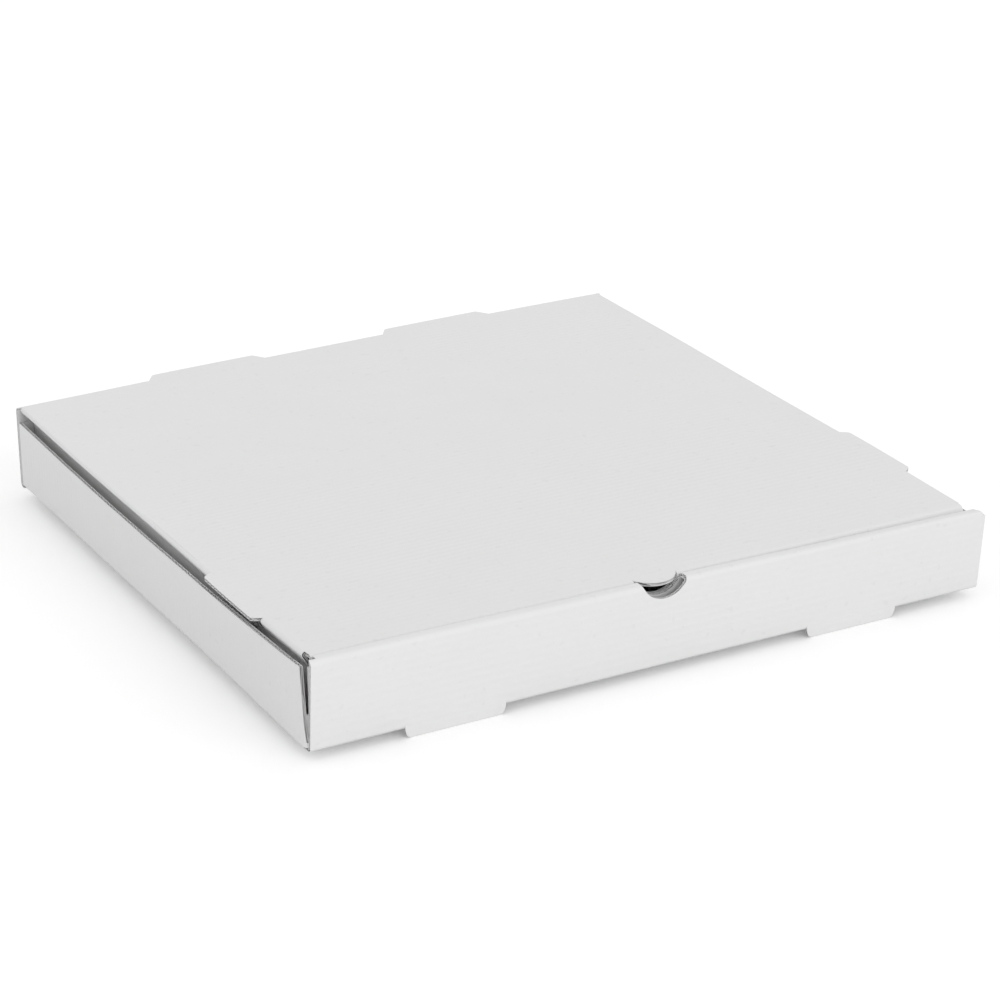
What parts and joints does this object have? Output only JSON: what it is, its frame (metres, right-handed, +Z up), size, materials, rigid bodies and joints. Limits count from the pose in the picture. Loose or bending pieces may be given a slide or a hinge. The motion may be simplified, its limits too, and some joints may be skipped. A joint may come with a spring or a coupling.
{
  "type": "pizza box",
  "caption": "Flat square folding box of white corrugated board with a hinged tuck-in lid, doubled front wall, thumb notch and crease tabs.",
  "frame": {"origin": "centre of the closed box's footprint, at the tips of the tabs under the front wall", "axes": "+Z up, +Y from the front wall towards the lid's hinge at the back, +X to the right seen from the front"},
  "size_m": [0.3334, 0.3374, 0.0521],
  "materials": {
    "tray_board": "matt white-lined thin corrugated board, bare",
    "lid_board": "matt white-lined thin corrugated board, bare"
  },
  "bodies": {
    "tray": {"tray": "tray_board"},
    "lid": {"lid": "lid_board"}
  },
  "joints": [
    {"name": "lid_hinge", "type": "hinge", "parent": "tray", "child": "lid", "pos_m": [0, 0.1649, 0.04874], "axis": [-1, 0, 0], "range_deg": [0, 180]}
  ]
}
